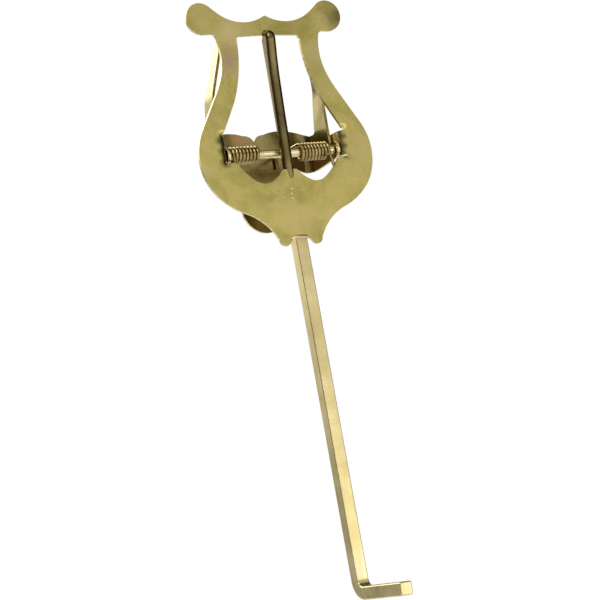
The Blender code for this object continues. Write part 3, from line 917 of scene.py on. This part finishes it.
# The raised marks wear the brighter cut-edge brass: painted highlight on real stamped marks.
marks = dressed(stamped_marks(), cut_edge_and_mark_highlight)

PIECES = (
    (plate, "lyre", "front_lyre_plate", "lyre_plate"),
    (bar, "lyre", "front_lyre_plate", "lyre_plate"),
    (marks, "lyre", "front_lyre_plate", "lyre_plate"),
    (jaw, "jaw", "rear_jaw", "jaw"),
    (pin, "lyre", "hinge_pin", "pin"),
    (sleeve, "lyre", "spacer_sleeve", "sleeve"),
    (left_coil, "lyre", "left_spring", "springs"),
    (right_coil, "lyre", "right_spring", "springs"),
    (shank, "lyre", "bent_shank", "shank"),
    (bead, "lyre", "braze_fillet", "braze"),
    (solder_run, "lyre", "braze_fillet", "braze"),
)
for piece, body, node, slot in PIECES:
    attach(piece, body)
    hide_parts(node)


# ---------------------------------------------------------------- studio

CAMERA_AT = Vector((-0.29566, -0.51890, 0.02171))
CAMERA_RIGHT = Vector((0.87523, -0.45505, -0.16400))
CAMERA_UP = Vector((0.09025, -0.17948, 0.97961))
CAMERA_BACK = Vector((-0.47521, -0.87219, -0.11602))
CAMERA_LENS = 120.0
FLOOR_RADIUS = 2.2
FLOOR_Z = -0.25

# Brightness of the room round the object: by heading in degrees from straight ahead towards the right,
# and by height from straight down to straight up, for its front half and for its back half.
FRONT_AROUND = (
    (-180, 0),
    (-95, 0),
    (-70, 0.2),
    (-40, 0.7),
    (0, 0.9),
    (28, 1.0),
    (42, 0.8),
    (56, 0.2),
    (72, 0.04),
    (95, 0),
)
FRONT_UP = (
    (-1.0, 0.5),
    (-0.1, 1.9),
    (0.05, 2.4),
    (0.085, 1.3),
    (0.12, 0.5),
    (0.155, 0.62),
    (0.21, 0.74),
    (0.5, 0.7),
    (1.0, 0.9),
)
BACK_AROUND = (
    (-180, 1.0),
    (-150, 1.0),
    (-125, 0.4),
    (-102, 0.05),
    (-80, 0),
    (110, 0),
    (140, 0.06),
    (160, 0.2),
    (175, 1.0),
)
BACK_UP = (
    (-1.0, 0.6),
    (-0.1, 0.4),
    (0.02, 0.4),
    (0.1, 0.8),
    (0.14, 1.1),
    (0.2, 1.2),
    (0.3, 2.4),
    (0.42, 4.0),
    (1.0, 3.0),
)
BRIGHTEST = 4.0


def make_camera():
    data = bpy.data.cameras.new("camera")
    data.lens = CAMERA_LENS
    data.sensor_width = 36.0
    data.clip_start = 0.01
    data.clip_end = 50.0
    camera = link(bpy.data.objects.new("camera", data))
    turned_to = Matrix((CAMERA_RIGHT, CAMERA_UP, CAMERA_BACK)).transposed().to_4x4()
    camera.matrix_world = Matrix.Translation(CAMERA_AT) @ turned_to
    bpy.context.scene.camera = camera


def area_light(name, at, aim, size, power):
    data = bpy.data.lights.new(name, "AREA")
    data.shape = "RECTANGLE"
    data.size, data.size_y = size
    data.energy = power
    light = link(bpy.data.objects.new(name, data))
    light.location = at
    light.rotation_euler = (Vector(aim) - Vector(at)).to_track_quat("-Z", "Y").to_euler()


def make_floor():
    bpy.ops.mesh.primitive_circle_add(
        vertices=96, radius=FLOOR_RADIUS, fill_type="NGON", location=(0, 0, FLOOR_Z)
    )
    floor = bpy.context.active_object
    floor.name = "studio_floor"
    n = Nodes("pale_floor")
    grain = n.noise(14.0, 3.0, 0.5)
    colour = n.ramp(grain, ((0.3, (0.90, 0.90, 0.90)), (0.7, (0.94, 0.94, 0.94))))
    floor.data.materials.append(n.set(Base_Color=colour, Roughness=0.8))


def make_world():
    """Pure white to the eye; to the metal, a room bright in front and behind and dark at its two sides."""
    world = bpy.data.worlds.new("studio")
    bpy.context.scene.world = world
    world.use_nodes = True
    tree = world.node_tree
    tree.nodes.clear()

    def wire_up(source, target):
        tree.links.new(source, target)

    def rescaled(value, low, high):
        node = tree.nodes.new("ShaderNodeMapRange")
        node.inputs["From Min"].default_value = low
        node.inputs["From Max"].default_value = high
        wire_up(value, node.inputs["Value"])
        return node.outputs["Result"]

    def ramp_of(fac, stops):
        node = tree.nodes.new("ShaderNodeValToRGB")
        wire_up(fac, node.inputs["Fac"])
        while len(node.color_ramp.elements) < len(stops):
            node.color_ramp.elements.new(0.5)
        for element, (position, grey) in zip(node.color_ramp.elements, stops):
            element.position = position
            element.color = (grey, grey, grey, 1)
        return node.outputs["Color"]

    def blended(blend_type, a, b):
        node = tree.nodes.new("ShaderNodeMix")
        node.data_type = "RGBA"
        node.blend_type = blend_type
        node.inputs[0].default_value = 1.0
        wire_up(a, node.inputs[6])
        wire_up(b, node.inputs[7])
        return node.outputs[2]

    coords = tree.nodes.new("ShaderNodeTexCoord")
    split = tree.nodes.new("ShaderNodeSeparateXYZ")
    wire_up(coords.outputs["Generated"], split.inputs[0])
    forward = tree.nodes.new("ShaderNodeMath")
    forward.operation = "MULTIPLY"
    forward.inputs[1].default_value = -1.0
    wire_up(split.outputs["Y"], forward.inputs[0])
    heading = tree.nodes.new("ShaderNodeMath")
    heading.operation = "ARCTAN2"
    wire_up(split.outputs["X"], heading.inputs[0])
    wire_up(forward.outputs[0], heading.inputs[1])
    turn = rescaled(heading.outputs[0], -math.pi, math.pi)
    rise = rescaled(split.outputs["Z"], -1.0, 1.0)
    halves = []
    for around, up in ((FRONT_AROUND, FRONT_UP), (BACK_AROUND, BACK_UP)):
        sideways = ramp_of(turn, [((a + 180) / 360, level) for a, level in around])
        upwards = ramp_of(rise, [((z + 1) / 2, level / BRIGHTEST) for z, level in up])
        halves.append(blended("MULTIPLY", sideways, upwards))
    lit = tree.nodes.new("ShaderNodeBackground")
    lit.inputs["Strength"].default_value = BRIGHTEST
    wire_up(blended("ADD", *halves), lit.inputs["Color"])
    seen = tree.nodes.new("ShaderNodeBackground")
    seen.inputs["Color"].default_value = (1, 1, 1, 1)
    path = tree.nodes.new("ShaderNodeLightPath")
    mix = tree.nodes.new("ShaderNodeMixShader")
    wire_up(path.outputs["Is Camera Ray"], mix.inputs[0])
    wire_up(lit.outputs[0], mix.inputs[1])
    wire_up(seen.outputs[0], mix.inputs[2])
    out = tree.nodes.new("ShaderNodeOutputWorld")
    wire_up(mix.outputs[0], out.inputs["Surface"])


make_camera()
make_floor()
make_world()
area_light("key_light", (-0.5, -0.5, 0.85), (0, 0, 0.12), (0.4, 0.4), 3.0)
bpy.context.scene.view_settings.view_transform = "Standard"
